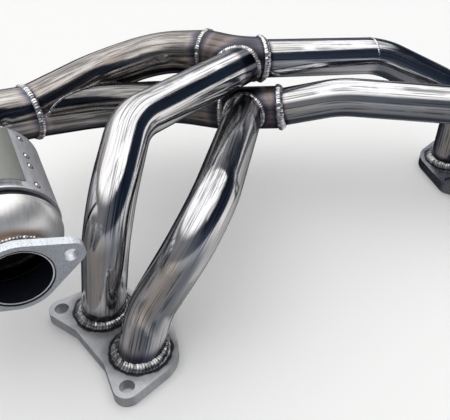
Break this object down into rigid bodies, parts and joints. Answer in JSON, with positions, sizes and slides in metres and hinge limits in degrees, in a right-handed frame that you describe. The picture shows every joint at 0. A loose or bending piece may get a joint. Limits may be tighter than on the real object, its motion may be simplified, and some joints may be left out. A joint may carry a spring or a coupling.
{
  "type": "exhaust manifold",
  "caption": "Welded tubular exhaust manifold for a flat engine: runners from both head flanges merge into secondary pipes and a built-in catalytic converter with a bolted outlet flange.",
  "frame": {"origin": "on the mating plane of head flange A, midway between its two ports", "axes": "+X from head flange A across the engine to head flange B, Y along each row of ports with the outlet towards -Y, +Z away from the head faces"},
  "size_m": [0.6737, 0.3819, 0.2024],
  "materials": {
    "head_plate_a": "satin ground face, machined edge",
    "head_plate_b": "satin ground face, machined edge",
    "runner_1_tube": "polished lengthwise, light heat tint",
    "runner_2_tube": "polished lengthwise, light heat tint",
    "runner_3_tube": "polished lengthwise",
    "runner_3_tube_outer": "polished lengthwise",
    "runner_4_tube": "polished lengthwise",
    "upper_junction_tube": "satin, brown and violet heat tint by the welds",
    "lower_junction_tube": "satin, brown and blue heat tint by the welds",
    "secondary_tube_1": "polished, warm heat tint",
    "secondary_tube_2": "polished, warm heat tint",
    "elbow_tube": "polished, straw heat tint",
    "inlet_cone_sheet": "satin pressed sheet",
    "shell_sheet": "satin rolled sheet",
    "mat_fibre": "matt ceramic fibre",
    "brick_ceramic": "matt honeycomb ends",
    "outlet_cone_sheet": "satin pressed sheet",
    "outlet_tube": "satin tube",
    "outlet_plate": "satin cut plate",
    "shield_sheet": "satin rolled sheet, a little violet",
    "nameplate_foil": "matt grey green foil, blank",
    "rivet_steel": "satin",
    "boss_steel": "turned",
    "weld_metal": "rippled bright bead"
  },
  "bodies": {
    "root": {"head_flange_a": "head_plate_a", "head_flange_b": "head_plate_b", "runner_1": "runner_1_tube", "runner_2": "runner_2_tube", "runner_3_inner": "runner_3_tube", "runner_3_outer": "runner_3_tube_outer", "runner_4": "runner_4_tube", "upper_junction": "upper_junction_tube", "lower_junction": "lower_junction_tube", "secondary_pipe_1": "secondary_tube_1", "secondary_pipe_2": "secondary_tube_2", "inlet_elbow": "elbow_tube", "inlet_cone": "inlet_cone_sheet", "converter_shell": "shell_sheet", "support_mat": "mat_fibre", "catalyst_brick": "brick_ceramic", "outlet_cone": "outlet_cone_sheet", "outlet_pipe": "outlet_tube", "outlet_flange": "outlet_plate", "heat_shield_upper": "shield_sheet", "heat_shield_lower": "shield_sheet", "nameplate": "nameplate_foil", "shield_rivets": "rivet_steel", "sensor_boss_upstream": "boss_steel", "sensor_boss_downstream": "boss_steel", "weld_head_a": "weld_metal", "weld_head_b": "weld_metal", "weld_branch_upper": "weld_metal", "weld_branch_lower": "weld_metal", "weld_upper_right": "weld_metal", "weld_upper_left": "weld_metal", "weld_lower_right": "weld_metal", "weld_lower_left": "weld_metal", "weld_runner_3_seam": "weld_metal", "weld_valley": "weld_metal", "weld_collector": "weld_metal", "weld_elbow": "weld_metal", "weld_shell": "weld_metal", "weld_neck": "weld_metal", "weld_outlet_flange": "weld_metal"}
  },
  "joints": []
}
